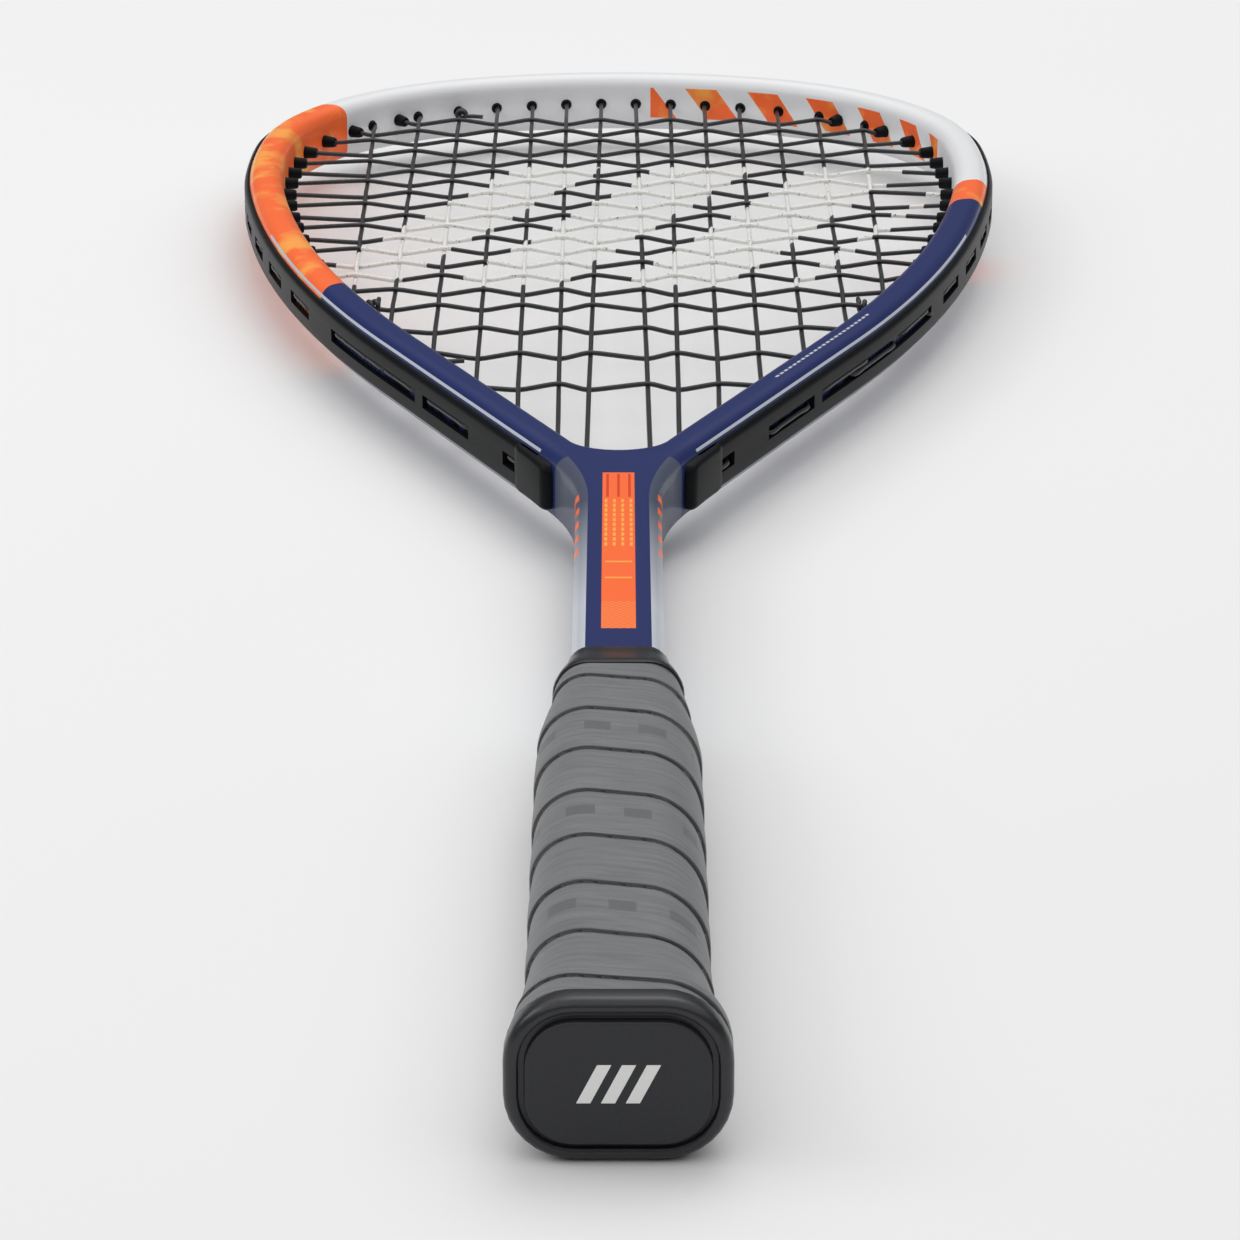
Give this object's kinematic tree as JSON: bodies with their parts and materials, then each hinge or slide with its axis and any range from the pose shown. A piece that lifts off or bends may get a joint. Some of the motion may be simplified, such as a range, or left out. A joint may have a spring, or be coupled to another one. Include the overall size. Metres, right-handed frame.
{
  "type": "squash racket",
  "caption": "Strung squash racket: open-throat teardrop hoop on a slim shaft, with a bumper guard, grommet strips, a woven string bed and a wrapped round-cornered handle.",
  "frame": {"origin": "centre of the butt cap's flat end face, on the handle's centre line", "axes": "+X to the right across the head, +Y from the butt to the tip of the head, +Z out of the string bed, square to it"},
  "size_m": [0.21, 0.685, 0.0288],
  "materials": {
    "frame": "gloss lacquer over moulded carbon fibre, in navy, orange and pearl white areas",
    "strip": "moulded nylon, satin",
    "string": "coated synthetic string, satin, with a pale stencil near the middle",
    "pallet": "rigid foam, hidden",
    "cap": "moulded rubbery plastic, satin, rim a little glossier",
    "steel": "plain wire, hidden",
    "grip": "wrapped polyurethane tape, soft matte, embossed marks on the wraps",
    "finishing_tape": "smooth vinyl tape"
  },
  "bodies": {
    "root": {"hoop_tube": "frame", "throat_yoke": "frame", "shaft_tube": "frame", "bumper_guard": "strip", "grommet_strip_left": "strip", "grommet_strip_right": "strip", "main_string": "string", "cross_string": "string", "pallet_left": "pallet", "pallet_right": "pallet", "butt_cap": "cap", "cap_staples": "steel", "base_grip": "grip", "grip_tack": "steel", "finishing_tape": "finishing_tape"}
  },
  "joints": []
}
